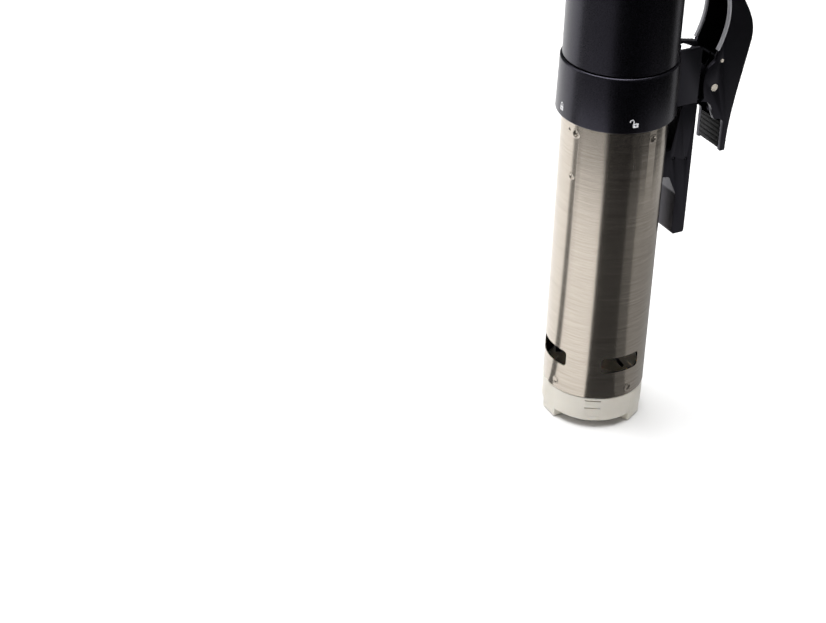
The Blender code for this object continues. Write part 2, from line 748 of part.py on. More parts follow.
def make_inner_jaw():
    """The bar inside the pot's wall: its saddle bears on the sleeve and its back carries a pad."""
    outline = [
        (JAW_FACE, BRACKET_BOTTOM - GAP),
        (34.6, BRACKET_BOTTOM - GAP),
        (30.2, 157.3),
        (22.0, 156.0),
        (22.0, 143.0),
        (31.0, 141.0),
        (36.2, 130.0),
        (36.2, JAW_BOTTOM + 1.5),
        (37.2, JAW_BOTTOM),
        (JAW_FACE - 0.6, JAW_BOTTOM),
        (JAW_FACE, JAW_BOTTOM + 0.8),
    ]
    jaw = prism("inner_jaw", outline[::-1], CLAMP_HALF, "black_plastic")
    fuse(jaw, box("tang", (-5, 36.5, 175), (5, 42.5, 192.5)))
    cut(jaw, rod("sleeve_space", SLEEVE_R + GAP, (0, 0, 100), (0, 0, 200), sides=SIDES))
    for i, (y, z) in enumerate(RIVETS):
        cut(jaw, rod("rivet_hole", 1.1, (-20, y, z), (20, y, z), sides=12))
        rod(f"jaw_rivet_{i + 1}", 0.8, (-CLAMP_HALF, y, z), (CLAMP_HALF, y, z), "bright_steel", 12)
    face = JAW_FACE + GAP
    box("inner_pad", (-8, face, 112), (8, face + 1.4, 166), "rubber")


def outer_edge():
    """The lever's back, from its foot up over the shoulder to where the tip starts."""
    lower = bezier((66.0, LEVER_BOTTOM), (66.0, 172), (71.2, 190), (75.0, 211), 9)
    upper = bezier((75.0, 211), (77.9, 224), (70.0, 232), (64.0, 243), 9)
    return lower + upper[1:]


def grip_edge():
    """The lever's front above the knuckle, as it curves round the fingers to the tip."""
    return bezier((53.8, 210.4), (61.5, 226), (59.5, 238), (52.6, 252), 10)


def make_lever():
    """The lever: two cheeks joined by a web down the back, hinged on the bracket's knuckle."""
    outer = outer_edge()
    mouth = [(OUTER_FACE, LEVER_BOTTOM), (OUTER_FACE, 166.0)]
    mouth += arc((58.9, 166.0), OUTER_FACE - 58.9, 0, 90, 4)[1:]
    mouth += [(56.4, 170.4)]
    mouth += arc((46.6, 174.3), 8.1, 0, 90, 6)
    boss = [(48.3, 184.4), (47.2, 189.0), (47.0, 196.5), (49.6, 201.6)]
    boss += [(53.6, 204.6), (54.3, 206.8)]
    grip = beside(grip_edge(), -TRIM - GAP)
    tip = [(52.6, 252.6), (53.6, 255.6), (56.4, 256.4), (58.6, 254.2)]
    outline = mouth + boss + grip + tip + outer[::-1]
    lever = prism("clamp_lever", outline, CLAMP_HALF, "black_plastic")
    inside = [p for p in beside(outer, WEB) if p[1] < 243]
    channel = [(40, LEVER_BOTTOM - 5), (inside[0][0], LEVER_BOTTOM - 5)] + inside + [(40, inside[-1][1])]
    cut(lever, prism("lever_channel", channel, CHEEK_INNER))
    cut(lever, rod("lever_pivot_hole", PIVOT_R + GAP, (-20, *PIVOT), (20, *PIVOT), sides=24))
    cut(lever, rod("lever_pin_hole", SPRING_PIN_R + GAP, (-20, *SPRING_PIN), (20, *SPRING_PIN)))
    pad_low = (-CHEEK_INNER + GAP, OUTER_FACE - 0.3, LEVER_BOTTOM + 1)
    pad_high = (CHEEK_INNER - GAP, 66.0 - WEB - GAP, 166)
    box("outer_pad", pad_low, pad_high, "rubber")


def make_lever_trims():
    edge = grip_edge()
    outline = edge + beside(edge, -TRIM)[::-1]
    half = (CLAMP_HALF - CHEEK_INNER) / 2
    middle = (CLAMP_HALF + CHEEK_INNER) / 2
    prism("lever_trim_right", outline, half, "grey_plastic", middle)
    prism("lever_trim_left", outline, half, "grey_plastic", -middle)


def make_pins():
    end = CLAMP_HALF + 0.2
    rod("pivot_pin", PIVOT_R, (-end, *PIVOT), (end, *PIVOT), "bright_steel", 24)
    rod("spring_pin", SPRING_PIN_R, (-end, *SPRING_PIN), (end, *SPRING_PIN), "bright_steel", 16)


def make_spring():
    """A torsion spring round the pivot: one leg on the bracket, the other behind the lever's pin."""
    wire_r = 0.6
    coil_r = 4.2
    turns = 3
    per_turn = 8
    half = 2.4
    points = [(-half, 49.4, 201.0), (-half, 50.2, 196.0)]
    for i in range(turns * per_turn + 1):
        turn = pi + 2 * pi * i / per_turn
        x = -half + 2 * half * i / (turns * per_turn)
        points.append((x, PIVOT[0] + coil_r * cos(turn), PIVOT[1] - coil_r * sin(turn)))
    leg_y = SPRING_PIN[0] - SPRING_PIN_R - wire_r - GAP
    points += [(half, leg_y - 4.6, 195.0), (half, leg_y, SPRING_PIN[1] - 2)]
    points.append((half, leg_y, SPRING_PIN[1] + 2))
    wire("clamp_spring", points, wire_r, "bright_steel")


def main():
    for old in list(bpy.data.objects):
        bpy.data.objects.remove(old, do_unlink=True)
    collection(PARTS)
    collection(CUTTERS)
    make_sleeve()
    make_collar()
    make_spigot()
    make_heater()
    make_probes()
    make_pump_mount()
    make_spindle()
    make_seals()
    make_base_cap()
    make_upper_housing()
    make_cable_gland()
    make_control_panel()
    make_drive()
    make_electronics()
    make_bracket()
    make_inner_jaw()
    make_lever()
    make_lever_trims()
    make_pins()
    make_spring()


main()
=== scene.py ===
"""The looks of a sous vide circulator: fine pieces and finishes around the fixed working model."""

from math import cos, pi, radians, sin

import bpy
from mathutils import Matrix, Vector


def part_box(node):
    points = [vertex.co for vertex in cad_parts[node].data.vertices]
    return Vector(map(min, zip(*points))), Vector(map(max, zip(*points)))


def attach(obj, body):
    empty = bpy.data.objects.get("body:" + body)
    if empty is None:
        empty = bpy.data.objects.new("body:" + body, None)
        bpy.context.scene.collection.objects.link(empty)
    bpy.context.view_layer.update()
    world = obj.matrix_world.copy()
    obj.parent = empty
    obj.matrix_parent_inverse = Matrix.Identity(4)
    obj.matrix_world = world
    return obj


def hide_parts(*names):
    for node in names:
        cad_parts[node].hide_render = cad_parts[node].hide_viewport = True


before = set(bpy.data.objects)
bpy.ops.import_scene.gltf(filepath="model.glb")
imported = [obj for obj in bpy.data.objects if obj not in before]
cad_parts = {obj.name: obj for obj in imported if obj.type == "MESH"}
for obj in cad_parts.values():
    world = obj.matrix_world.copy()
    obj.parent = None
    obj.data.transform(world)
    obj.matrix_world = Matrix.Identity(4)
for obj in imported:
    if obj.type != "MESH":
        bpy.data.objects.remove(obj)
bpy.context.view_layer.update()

MM = 0.001
X, Y, Z = 0, 1, 2
ROUND = 224  # sides of a piece as wide as the tube


# ---------------------------------------------------------------- sizes, from the frame


def low(node, axis):
    """The lowest coordinate of a node along an axis, in millimetres."""
    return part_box(node)[0][axis] / MM


def high(node, axis):
    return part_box(node)[1][axis] / MM


SLEEVE_R = high("sleeve", X)
SLEEVE_BOTTOM = low("sleeve", Z)
SLEEVE_TOP = high("sleeve", Z)
SLEEVE_WALL = 0.8
COLLAR_R = high("collar", X)
COLLAR_TOP_R = COLLAR_R - 0.6
COLLAR_BOTTOM = low("collar", Z)
COLLAR_TOP = high("collar", Z)
BODY_R = high("upper_housing", X)
BODY_BOTTOM = low("upper_housing", Z)
BODY_BORE = BODY_R - 2.5
PANEL_TILT = radians(35)
PANEL_Z = high("upper_housing", Z) - BODY_R * sin(PANEL_TILT) / cos(PANEL_TILT)
PANEL_TOP = -0.4
PANEL_THICK = 2.5
BUTTON_V = -18.0
LENS_V = 6.0
LENS_HALF = (18.0, 11.0)
OUTLET_Z = 40.8
OUTLET_HEIGHT = 9.4
OUTLET_HALF = SLEEVE_R * sin(radians(24))
OUTLET_TURN = radians(-2)
LUG_TURN = radians(11.5)
LUG_Z = 177.0
MARK_Z = 177.8
TICK_Z = 163.0
DOT_Z = 152.0
PADLOCK_Z = 189.6
VENT_LOW, VENT_HIGH = 284, 300
BUTTON_X = (-12.0, 0.0, 12.0)
CAP_R = high("base_cap", X) if high("base_cap", X) < SLEEVE_R else SLEEVE_R - 0.2
CAP_TURN = radians(-92)
CLAMP_HALF = high("clamp_lever", X)
CHEEK_INNER = low("lever_trim_right", X)
PIVOT = (54.6, 189.0)
SPRING_PIN = (57.6, 204.0)
LEVER_BOTTOM = low("clamp_lever", Z)
JAW_FACE = high("inner_jaw", Y)
JAW_BOTTOM = low("inner_jaw", Z)
BRACKET_BOTTOM = low("clamp_bracket", Z)
BRACKET_TOP = 214.6
BRACKET_END = 44.0
BRACKET_FLOOR = 203.0
OUTER_FACE = low("outer_pad", Y) + 0.3
WEB = 1.7
TRIM = 1.4
GLAND_Z = (low("cable_gland", Z) + high("cable_gland", Z)) / 2


# ---------------------------------------------------------------- modelling


def pick(piece):
    bpy.ops.object.select_all(action="DESELECT")
    piece.select_set(True)
    bpy.context.view_layer.objects.active = piece


def start(name):
    """A new piece that is one vertex at the origin, in edit mode."""
    bpy.ops.object.select_all(action="DESELECT")
    bpy.ops.mesh.primitive_plane_add(size=MM)
    piece = bpy.context.object
    piece.name = name
    piece.data.name = name
    bpy.ops.object.mode_set(mode="EDIT")
    bpy.ops.mesh.select_all(action="SELECT")
    bpy.ops.mesh.merge(type="CENTER")
    return piece


def draw_line(points):
    """Extrudes the one vertex through a list of points."""
    bpy.ops.transform.translate(value=points[0])
    for a, b in zip(points, points[1:]):
        step = [q - p for p, q in zip(a, b)]
        bpy.ops.mesh.extrude_region_move(TRANSFORM_OT_translate={"value": step})
    bpy.ops.mesh.select_all(action="SELECT")


def close_up():
    """Ends edit mode with the doubles merged and the faces pointing out."""
    bpy.ops.mesh.select_all(action="SELECT")
    bpy.ops.mesh.remove_doubles(threshold=0.000002)
    bpy.ops.mesh.normals_make_consistent(inside=False)
    bpy.ops.object.mode_set(mode="OBJECT")


def smooth(piece, angle=32):
    pick(piece)
    bpy.ops.object.shade_smooth_by_angle(angle=radians(angle))
    return piece


def turned(name, profile, steps=ROUND, closed=True):
    """A profile of (radius, height) in millimetres, spun about the tube's axis."""
    piece = start(name)
    line = list(profile) + ([profile[0]] if closed else [])
    draw_line([(r * MM, 0, z * MM) for r, z in line])
    bpy.ops.mesh.spin(steps=steps, angle=2 * pi, center=(0, 0, 0), axis=(0, 0, 1))
    close_up()
    return smooth(piece)


def sawn(name, outline, low_x, high_x):
    """A (y, z) outline in millimetres, extruded along X."""
    piece = start(name)
    draw_line([(low_x * MM, y * MM, z * MM) for y, z in outline])
    bpy.ops.mesh.edge_face_add()
    along = ((high_x - low_x) * MM, 0, 0)
    bpy.ops.mesh.extrude_region_move(TRANSFORM_OT_translate={"value": along})
    close_up()
    return piece


def block(name, low_corner, high_corner):
    """A box between two corners in millimetres, as a start for other shapes."""
    size = [(b - a) * MM for a, b in zip(low_corner, high_corner)]
    middle = [(a + b) / 2 * MM for a, b in zip(low_corner, high_corner)]
    bpy.ops.object.select_all(action="DESELECT")
    bpy.ops.mesh.primitive_cube_add(size=1, location=middle)
    piece = bpy.context.object
    piece.name = name
    piece.data.name = name
    piece.scale = size
    bpy.ops.object.transform_apply(location=True, rotation=True, scale=True)
    return piece


def bar(name, radius, length, sides=48):
    """A cylinder up the Z axis from the origin, as a start for other shapes."""
    bpy.ops.object.select_all(action="DESELECT")
    middle = (0, 0, length / 2 * MM)
    bpy.ops.mesh.primitive_cylinder_add(
        vertices=sides, radius=radius * MM, depth=length * MM, location=middle
    )
    piece = bpy.context.object
    piece.name = name
    bpy.ops.object.transform_apply(location=True, rotation=True, scale=True)
    return piece


def settle(piece, where):
    """Moves a piece by a matrix, and leaves the place in its mesh."""
    pick(piece)
    piece.matrix_world = where @ piece.matrix_world
    bpy.ops.object.transform_apply(location=True, rotation=True, scale=True)
    return piece


def apply_modifiers(piece):
    pick(piece)
    for modifier in list(piece.modifiers):
        bpy.ops.object.modifier_apply(modifier=modifier.name)
    return piece


def combine(piece, tool, operation):
    modifier = piece.modifiers.new("Boolean", "BOOLEAN")
    modifier.operation = operation
    modifier.solver = "EXACT"
    modifier.object = tool
    apply_modifiers(piece)
    bpy.data.objects.remove(tool, do_unlink=True)
    return piece


def cut(piece, tool):
    return combine(piece, tool, "DIFFERENCE")


def fuse(piece, tool):
    return combine(piece, tool, "UNION")


def round_edges(piece, width, segments=3, angle=40, also_smooth=True):
    modifier = piece.modifiers.new("Bevel", "BEVEL")
    modifier.width = width * MM
    modifier.segments = segments
    modifier.limit_method = "ANGLE"
    modifier.angle_limit = radians(angle)
    modifier.use_clamp_overlap = True
    modifier.harden_normals = False
    apply_modifiers(piece)
    return smooth(piece) if also_smooth else piece


def spun(angle):
    return Matrix.Rotation(angle, 4, "Z")


def around(count, first=0.0):
    return [first + 2 * pi * i / count for i in range(count)]


def outward(angle, radius, height):
    """Takes a piece made up the Z axis to a place on the tube, facing out."""
    where = Matrix.Translation((radius * MM, 0, height * MM))
    return spun(angle) @ where @ Matrix.Rotation(radians(90), 4, "Y")


def panel_frame():
    return Matrix.Translation((0, 0, PANEL_Z * MM)) @ Matrix.Rotation(PANEL_TILT, 4, "X")


def soften(points, radius, closed=True, steps=4):
    """The same outline with its corners rounded."""
    made = []
    count = len(points)
    for i, corner in enumerate(points):
        if not closed and i in (0, count - 1):
            made.append(tuple(corner))
            continue
        here = Vector(corner)
        back = Vector(points[i - 1]) - here
        on = Vector(points[(i + 1) % count]) - here
        reach = min(radius, 0.45 * back.length, 0.45 * on.length)
        a = here + back.normalized() * reach
        c = here + on.normalized() * reach
        for k in range(steps + 1):
            t = k / steps
            made.append(tuple((1 - t) ** 2 * a + 2 * t * (1 - t) * here + t * t * c))
    return made


def bezier(a, b, c, d, steps=16):
    points = []
    for i in range(steps + 1):
        t = i / steps
        weights = ((1 - t) ** 3, 3 * t * (1 - t) ** 2, 3 * t * t * (1 - t), t**3)
        points.append(tuple(sum(w * p[k] for w, p in zip(weights, (a, b, c, d))) for k in (0, 1)))
    return points


def arc(centre, radius, first, last, steps=12):
    """Points round a circle, with the angles in degrees from +Y towards +Z."""
    turns = [radians(first + (last - first) * i / steps) for i in range(steps + 1)]
    return [(centre[0] + radius * cos(t), centre[1] + radius * sin(t)) for t in turns]


def beside(points, distance):
    """The same line, moved square to itself: to the left of its direction where positive."""
    moved = []
    for i, (y, z) in enumerate(points):
        before = points[max(i - 1, 0)]
        after = points[min(i + 1, len(points) - 1)]
        along = Vector((after[0] - before[0], after[1] - before[1])).normalized()
        moved.append((y - along.y * distance, z + along.x * distance))
    return moved


# ---------------------------------------------------------------- finishes


def paint(code):
    """An sRGB hex colour as linear RGBA."""
    values = [int(code[i : i + 2], 16) / 255 for i in (1, 3, 5)]
    linear = [v / 12.92 if v <= 0.04045 else ((v + 0.055) / 1.055) ** 2.4 for v in values]
    return (*linear, 1.0)


def blank(name):
    """A new material and its Principled shader."""
    made = bpy.data.materials.new(name)
    made.use_nodes = True
    return made, made.node_tree.nodes["Principled BSDF"]


def add(made, kind, settings=None, **inputs):
    """Adds a node with its settings, and with its inputs set to values or linked to sockets.

    An input is given by its name, or by its number after an underscore.
    """
    node = made.node_tree.nodes.new(kind)
    for name, value in (settings or {}).items():
        setattr(node, name, value)
    for name, value in inputs.items():
        key = int(name[1:]) if name[0] == "_" else name.replace("_", " ")
        socket = node.inputs[key]
        if isinstance(value, bpy.types.NodeSocket):
            made.node_tree.links.new(value, socket)
        else:
            socket.default_value = value
    return node


def link(made, source, target):
    made.node_tree.links.new(source, target)


def ramp(made, source, stops):
    """A colour ramp: stops are (position, colour)."""
    node = add(made, "ShaderNodeValToRGB", Fac=source)
    elements = node.color_ramp.elements
    while len(elements) < len(stops):
        elements.new(0.5)
    for element, (position, colour) in zip(elements, stops):
        element.position = position
        element.color = colour
    return node.outputs["Color"]


def grey(value):
    return (value, value, value, 1.0)


def place_on(made, scale=(1, 1, 1)):
    """Object coordinates in metres, scaled by a Mapping node."""
    where = add(made, "ShaderNodeTexCoord").outputs["Object"]
    return add(made, "ShaderNodeMapping", Vector=where, Scale=scale).outputs["Vector"]


def moulded(name, colour, lighter, gloss, grain_mm, grain_depth, sheen="#FFFFFF"):
    """An injection-moulded plastic: spark-eroded grain, and a faint drift in colour and gloss."""
    made, shader = blank(name)
    where = place_on(made)
    fine, broad = 1 / (grain_mm * MM), 1 / (26 * MM)
    grain = add(made, "ShaderNodeTexNoise", Vector=where, Scale=fine, Detail=3.0).outputs[0]
    drift = add(made, "ShaderNodeTexNoise", Vector=where, Scale=broad, Detail=2.0).outputs[0]
    tone = ramp(made, drift, [(0.3, paint(colour)), (0.75, paint(lighter))])
    link(made, tone, shader.inputs["Base Color"])
    rough = ramp(made, grain, [(0.3, grey(gloss - 0.04)), (0.7, grey(gloss + 0.05))])
    link(made, rough, shader.inputs["Roughness"])
    bump = add(made, "ShaderNodeBump", Height=grain, Strength=grain_depth, Distance=0.02 * MM)
    link(made, bump.outputs["Normal"], shader.inputs["Normal"])
    shader.inputs["IOR"].default_value = 1.5
    shader.inputs["Specular Tint"].default_value = paint(sheen)
    return made


def black_abs():
    # ABS, moulded with a fine spark-eroded grain: a deep, slightly violet black
    # with a broad satin sheen.
    return moulded("satin black ABS", "#020203", "#040406", 0.28, 0.35, 0.25, "#E9E4FF")


def black_nylon():
    # Glass-filled nylon of the clamp: the same black, drier and with a coarser skin.
    return moulded("glass-filled black nylon", "#020202", "#040405", 0.36, 0.5, 0.4, "#E9E4FF")


def grey_tpe():
    # Thermoplastic elastomer laid along the grip: matt light grey.
    return moulded("light grey elastomer", "#8E8E93", "#A2A2A6", 0.5, 0.4, 0.4)


def button_silicone():
    # Silicone key caps: dark grey, dry and soft looking.
    return moulded("grey silicone keys", "#3A3A3D", "#454548", 0.55, 0.3, 0.3)


def black_rubber():
    # Nitrile rubber of pads and seals: matt and a little bloomed.
    return moulded("nitrile rubber", "#121213", "#1D1D1E", 0.72, 0.6, 0.8)


def frosted_pp():
    # Polypropylene of the base cap: milky, so light runs through its wall and its edges glow.
    made = moulded("milky polypropylene", "#D9D4C9", "#E2DDD3", 0.38, 0.5, 0.3)
    shader = made.node_tree.nodes["Principled BSDF"]
    shader.inputs["Subsurface Weight"].default_value = 0.35
    shader.inputs["Subsurface Radius"].default_value = (1.0, 0.9, 0.75)
    shader.inputs["Subsurface Scale"].default_value = 2.0 * MM
    return made


def brushed_stainless():
    # 304 stainless tube, polished round and round with a belt: hair lines that circle the tube,
    # so reflections smear up and down it and stay sharp across it. The tone is a warm grey.
    made, shader = blank("belt-brushed stainless steel")
    # The lines are 0.45 mm apart here, coarser than real belt grit, so that they show.
    line_scale, streak_scale = 1 / (0.45 * MM), 1 / (2.2 * MM)
    lines_at = place_on(made, (0.02, 0.02, 1.0))
    noise = add(
        made, "ShaderNodeTexNoise", Vector=lines_at, Scale=line_scale, Detail=4.0, Roughness=0.6
    )
    lines = noise.outputs[0]
    streak_at = place_on(made, (0.05, 0.05, 1.0))
    streak = add(made, "ShaderNodeTexNoise", Vector=streak_at, Scale=streak_scale, Detail=3.0)
    tone = ramp(made, lines, [(0.3, paint("#ABA296")), (0.7, paint("#CAC1B6"))])
    band = ramp(made, streak.outputs[0], [(0.3, grey(0.95)), (0.7, grey(1.0))])
    multiply = {"data_type": "RGBA", "blend_type": "MULTIPLY"}
    mixed = add(made, "ShaderNodeMix", multiply, _0=1.0, _6=tone, _7=band)
    link(made, mixed.outputs[2], shader.inputs["Base Color"])
    rough = ramp(made, lines, [(0.25, grey(0.21)), (0.75, grey(0.26))])
    link(made, rough, shader.inputs["Roughness"])
    bump = add(made, "ShaderNodeBump", Height=lines, Strength=0.02, Distance=0.01 * MM)
    link(made, bump.outputs["Normal"], shader.inputs["Normal"])
    tangent = add(made, "ShaderNodeTangent", {"direction_type": "RADIAL", "axis": "Z"})
    link(made, tangent.outputs["Tangent"], shader.inputs["Tangent"])
    shader.inputs["Metallic"].default_value = 1.0
    shader.inputs["Anisotropic"].default_value = 0.75
    shader.inputs["Anisotropic Rotation"].default_value = 0.25
    return made


def turned_steel(name="turned stainless steel", colour="#C4BDB2", gloss=0.26):
    # Stainless bar, turned on a lathe: brighter than the tube, with a faint tool mark.
    made, shader = blank(name)
    where = place_on(made)
    mark_scale = 1 / (0.4 * MM)
    marks = add(made, "ShaderNodeTexNoise", Vector=where, Scale=mark_scale, Detail=3.0).outputs[0]
    darker = tuple(v * 0.82 for v in paint(colour)[:3]) + (1.0,)
    tone = ramp(made, marks, [(0.3, darker), (0.7, paint(colour))])
    link(made, tone, shader.inputs["Base Color"])
    rough = ramp(made, marks, [(0.3, grey(gloss)), (0.7, grey(gloss + 0.1))])
    link(made, rough, shader.inputs["Roughness"])
    shader.inputs["Metallic"].default_value = 1.0
    return made


def cast_aluminium():
    # Extruded and anodised aluminium of the heat sink and plates: pale, dry metal.
    return turned_steel("anodised aluminium", "#C9CBCE", 0.38)


def dull_shaded_inside():
    # The inside of the tube, as rolled and never polished: dull, with no clear reflection. Its
    # near-black colour is painted shade; the real inside is bare steel.
    return turned_steel("mill finish inside with painted shade", "#121110", 0.5)


def wet_steel():
    # Steel of the coil, probes and rods, darkened by heat and hard water.
    return turned_steel("heat-darkened steel", "#5A544C", 0.34)


def blackened_spring():
    # Spring wire blackened by phosphating: nearly black, dry metal.
    return turned_steel("phosphated spring wire", "#17171A", 0.45)


def satin_pin():
    # Zinc-plated pin ends, tumbled: pale warm grey that takes light from every side.
    made = turned_steel("tumbled zinc plate", "#E9E0D2", 0.55)
    made.node_tree.nodes["Principled BSDF"].inputs["Metallic"].default_value = 0.35
    return made


def circuit_board():
    # Glass-epoxy board under green solder mask, with lighter tracks that show through.
    made, shader = blank("green solder mask")
    where = place_on(made)
    edges = {"feature": "DISTANCE_TO_EDGE"}
    tracks = add(made, "ShaderNodeTexVoronoi", edges, Vector=where, Scale=1 / (3 * MM))
    tone = ramp(made, tracks.outputs[0], [(0.04, paint("#2E8F55")), (0.12, paint("#0F4A2A"))])
    link(made, tone, shader.inputs["Base Color"])
    shader.inputs["Roughness"].default_value = 0.32
    return made


def smoked_glass():
    # Toughened glass, black printed behind: a mirror-like face over black.
    made, shader = blank("black-backed glass")
    where = place_on(made)
    haze = add(made, "ShaderNodeTexNoise", Vector=where, Scale=1 / (9 * MM), Detail=4.0).outputs[0]
    rough = ramp(made, haze, [(0.35, grey(0.04)), (0.8, grey(0.11))])
    link(made, rough, shader.inputs["Roughness"])
    tone = ramp(made, haze, [(0.3, paint("#050506")), (0.8, paint("#09090B"))])
    link(made, tone, shader.inputs["Base Color"])
    shader.inputs["IOR"].default_value = 1.52
    shader.inputs["Coat Weight"].default_value = 0.5
    return made


def pad_ink():
    # White two-part ink, pad printed: flat, slightly uneven and a little grey over black.
    made, shader = blank("white pad-print ink")
    where = place_on(made)
    patch_scale = 1 / (0.7 * MM)
    patch = add(made, "ShaderNodeTexNoise", Vector=where, Scale=patch_scale, Detail=2.0).outputs[0]
    tone = ramp(made, patch, [(0.3, paint("#CFCFD2")), (0.7, paint("#F2F2F4"))])
    link(made, tone, shader.inputs["Base Color"])
    shader.inputs["Roughness"].default_value = 0.55
    return made


def etched_grey():
    # Laser etching on stainless steel: a dull brownish grey oxide.
    made, shader = blank("laser-etched oxide")
    where = place_on(made)
    patch = add(made, "ShaderNodeTexNoise", Vector=where, Scale=1 / (0.5 * MM)).outputs[0]
    tone = ramp(made, patch, [(0.3, paint("#57514A")), (0.7, paint("#6B645C"))])
    link(made, tone, shader.inputs["Base Color"])
    shader.inputs["Roughness"].default_value = 0.6
    shader.inputs["Metallic"].default_value = 0.6
    return made


def lit_digits():
    # Segments of the display, lit from behind through the glass.
    made, shader = blank("lit display segments")
    where = place_on(made)
    patch = add(made, "ShaderNodeTexNoise", Vector=where, Scale=1 / (4 * MM)).outputs[0]
    tone = ramp(made, patch, [(0.2, paint("#BFE3FF")), (0.8, paint("#E4F3FF"))])
    link(made, tone, shader.inputs["Base Color"])
    link(made, tone, shader.inputs["Emission Color"])
    shader.inputs["Emission Strength"].default_value = 1.6
    return made


BLACK = black_abs()
NYLON = black_nylon()
TPE = grey_tpe()
KEYS = button_silicone()
RUBBER = black_rubber()
MILKY = frosted_pp()
STAINLESS = brushed_stainless()
STEEL = turned_steel()
PAINTED_SHADE_INSIDE = dull_shaded_inside()
WET_STEEL = wet_steel()
SPRING = blackened_spring()
PIN = satin_pin()
ALUMINIUM = cast_aluminium()
BOARD = circuit_board()
GLASS = smoked_glass()
INK = pad_ink()
ETCH = etched_grey()
DIGITS = lit_digits()


def dress(piece, finish, body, slot, *replaced):
    """Gives a new piece its finish, its body and the CAD nodes it replaces. The slot is not used.
    """
    piece.data.materials.clear()
    piece.data.materials.append(finish)
    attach(piece, body)
    if replaced:
        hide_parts(*replaced)
    return piece


def second_finish(piece, finish, belongs):
    """Gives another finish to the faces whose middle passes the test."""
    piece.data.materials.append(finish)
    for face in piece.data.polygons:
        if belongs(face.center):
            face.material_index = 1


# ---------------------------------------------------------------- tube


def outlet_tool(turn):
    """A rounded-corner bar that cuts one water outlet through the sleeve."""
    corner = 2.4
    half_height = OUTLET_HEIGHT / 2
    outline = [
        (-OUTLET_HALF, OUTLET_Z - half_height),
        (OUTLET_HALF, OUTLET_Z - half_height),
        (OUTLET_HALF, OUTLET_Z + half_height),
        (-OUTLET_HALF, OUTLET_Z + half_height),
    ]
    tool = sawn("outlet_tool", soften(outline, corner, steps=8), SLEEVE_R - 8, SLEEVE_R + 4)
    return settle(tool, spun(turn))


def dimple(name, scale, depth):
    """A pressed dimple: a round bowl with a raised lip, made up the Z axis."""
    profile = [
        (3.1, -0.22),
        (2.7, 0.0),
        (2.4, 0.12),
        (2.05, 0.16),
        (1.75, 0.05),
        (1.5, -0.28 * depth),
        (1.2, -0.72 * depth),
        (0.75, -0.94 * depth),
        (0.0, -depth),
        (0.0, -depth - 0.6),
        (1.2, -0.75 * depth - 0.6),
        (2.0, -0.9),
        (3.1, -0.6),
    ]
    return turned(name, [(r * scale, z * scale) for r, z in profile], steps=64, closed=False)


def make_sleeve():
    inner = SLEEVE_R - SLEEVE_WALL
    profile = [
        (SLEEVE_R, SLEEVE_TOP),
        (SLEEVE_R, SLEEVE_BOTTOM),
        (inner, SLEEVE_BOTTOM),
        (inner, SLEEVE_TOP),
    ]
    sleeve = turned("steel_sleeve", soften(profile, 0.3, steps=3))
    for turn in around(4, OUTLET_TURN):
        cut(sleeve, outlet_tool(turn))
    # Each pressed spot has a turn, a height, a scale and a depth.
    spots = [(turn, LUG_Z, 1.0, 1.2) for turn in around(4, LUG_TURN)]
    spots += [(turn, SLEEVE_BOTTOM + 4.6, 0.95, 0.45) for turn in around(4, LUG_TURN - radians(2))]
    spots += [(turn, DOT_Z, 0.8, 0.45) for turn in around(2, LUG_TURN - radians(92))]
    for turn, height, scale, _depth in spots:
        hole = bar("dimple_hole", 2.3 * scale, 4, 32)
        cut(sleeve, settle(hole, outward(turn, SLEEVE_R - 2, height)))
    smooth(sleeve)
    dress(sleeve, STAINLESS, "sleeve", "brushed_steel", "sleeve")
    # The inner faces get the near-black steel: painted shade inside the tube.
    second_finish(sleeve, PAINTED_SHADE_INSIDE, lambda middle: middle.xy.length < (inner + 0.05) * MM)
    for i, (turn, height, scale, depth) in enumerate(spots):
        pressed = dimple(f"sleeve_dimple_{i + 1}", scale, depth)
        settle(pressed, outward(turn, SLEEVE_R, height))
        dress(pressed, STAINLESS, "sleeve", "brushed_steel")
    triangle = soften([(-1.1, -0.9), (1.1, -0.9), (0, 1.1)], 0.15)
    stroke = [(-0.25, -1.3), (0.25, -1.3), (0.25, 1.3), (-0.25, 1.3)]
    for name, outline, degrees, height in (
        ("alignment_mark", triangle, -89, MARK_Z),
        ("depth_tick", stroke, -10.5, TICK_Z),
    ):
        mark = sawn(name, outline, SLEEVE_R - 0.3, SLEEVE_R + 0.02)
        settle(mark, spun(radians(degrees)) @ Matrix.Translation((0, 0, height * MM)))
        dress(mark, ETCH, "sleeve", "brushed_steel")


def make_collar():
    seat = SLEEVE_R + 0.35
    flange_z, flange_r = 206.6, 24.0
    profile = [
        (COLLAR_TOP_R - 0.7, COLLAR_TOP),
        (COLLAR_TOP_R, COLLAR_TOP - 0.7),
        (COLLAR_R, COLLAR_BOTTOM + 0.8),
        (COLLAR_R - 0.7, COLLAR_BOTTOM),
        (seat, COLLAR_BOTTOM),
        (seat, flange_z),
        (flange_r, flange_z),
        (flange_r, COLLAR_TOP),
    ]
    collar = turned("collar_ring", soften(profile, 0.35, steps=3))
    dress(collar, BLACK, "body", "black_plastic", "collar")
    padlock("locked_mark", -96, 0.0)
    padlock("open_mark", -15.2, 1.0)


def collar_cone(name, proud):
    """A solid cone a little larger than the collar, which gives the ink its curved face."""
    profile = [
        (0.0, COLLAR_BOTTOM - 1),
        (COLLAR_R + proud, COLLAR_BOTTOM + 0.8),
        (COLLAR_TOP_R + proud, COLLAR_TOP - 0.7),
        (0.0, COLLAR_TOP),
    ]
    return turned(name, profile, closed=False)


